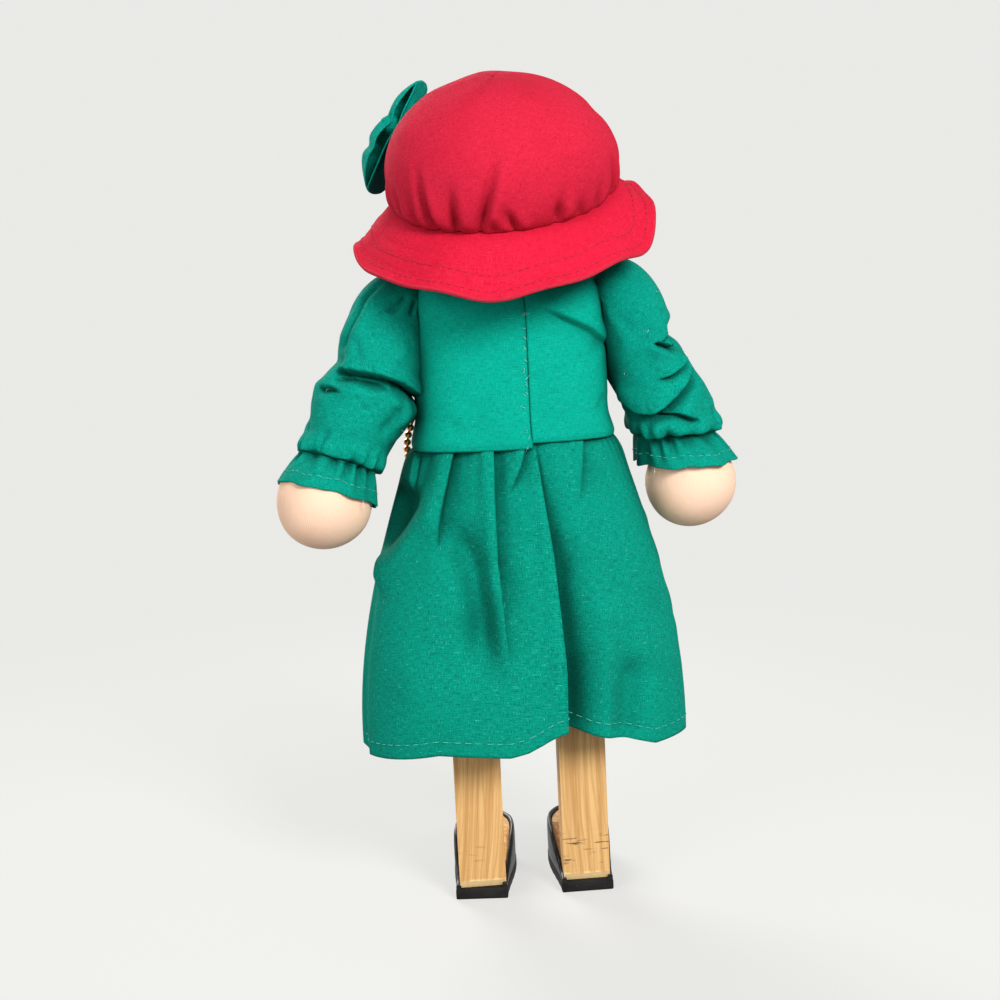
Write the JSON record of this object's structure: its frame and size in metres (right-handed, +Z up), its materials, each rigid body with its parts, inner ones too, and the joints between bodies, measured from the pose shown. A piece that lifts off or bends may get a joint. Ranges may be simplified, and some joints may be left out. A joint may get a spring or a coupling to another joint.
{
  "type": "clothespin doll",
  "caption": "Standing doll on two wooden clothespin legs with shoes, in a gathered cotton dress with puffed sleeves, with ball hands and head and a soft brimmed hat with a bow.",
  "frame": {"origin": "middle of the doll's bounding box, on the floor it stands on", "axes": "+Z up along the doll, -Y the way the doll faces, +X towards the doll's left hand"},
  "size_m": [0.1601, 0.0952, 0.2929],
  "materials": {
    "leg_wood": "satin",
    "hidden_wood": "matte",
    "shoe_black": "gloss",
    "dress_cotton": "matte",
    "bow_cotton": "matte",
    "hat_cotton": "matte",
    "skin_knit": "matte",
    "wadding": "matte",
    "elastic": "matte",
    "screw_steel": "satin",
    "bead_thread": "matte",
    "bead_gold": "gloss"
  },
  "bodies": {
    "torso": {"left_leg": "leg_wood", "right_leg": "leg_wood", "left_foot": "leg_wood", "right_foot": "leg_wood", "body_block": "hidden_wood", "neck_dowel": "hidden_wood", "neck_ring": "hidden_wood", "left_shoulder_bead": "hidden_wood", "right_shoulder_bead": "hidden_wood", "left_sole": "shoe_black", "right_sole": "shoe_black", "left_shoe_upper": "shoe_black", "right_shoe_upper": "shoe_black", "bodice_front": "dress_cotton", "bodice_back_left": "dress_cotton", "bodice_back_right": "dress_cotton", "skirt": "dress_cotton", "body_padding": "wadding", "shoulder_elastic": "elastic", "shoulder_knots": "elastic", "leg_screws": "screw_steel", "bead_string": "bead_thread", "beads": "bead_gold"},
    "left_arm": {"left_arm_dowel": "hidden_wood", "left_hand": "skin_knit", "left_sleeve": "dress_cotton", "left_cuff": "dress_cotton", "left_wrist_elastic": "elastic"},
    "right_arm": {"right_arm_dowel": "hidden_wood", "right_hand": "skin_knit", "right_sleeve": "dress_cotton", "right_cuff": "dress_cotton", "right_wrist_elastic": "elastic"},
    "head": {"head_ball": "skin_knit", "hat_crown": "hat_cotton", "hat_filling": "wadding", "hat_brim": "hat_cotton", "bow_upper_loop": "bow_cotton", "bow_lower_loop": "bow_cotton", "bow_knot": "bow_cotton"}
  },
  "joints": [
    {"name": "left_shoulder", "type": "hinge", "parent": "torso", "child": "left_arm", "pos_m": [0.0419, 0, 0.204], "axis": [-1, 0, 0], "range_deg": [-30, 100]},
    {"name": "right_shoulder", "type": "hinge", "parent": "torso", "child": "right_arm", "pos_m": [-0.0419, 0, 0.204], "axis": [-1, 0, 0], "range_deg": [-45, 85]},
    {"name": "head_turn", "type": "hinge", "parent": "torso", "child": "head", "pos_m": [0, 0, 0.2147], "axis": [0, 0, 1], "range_deg": [-25, 25]}
  ]
}
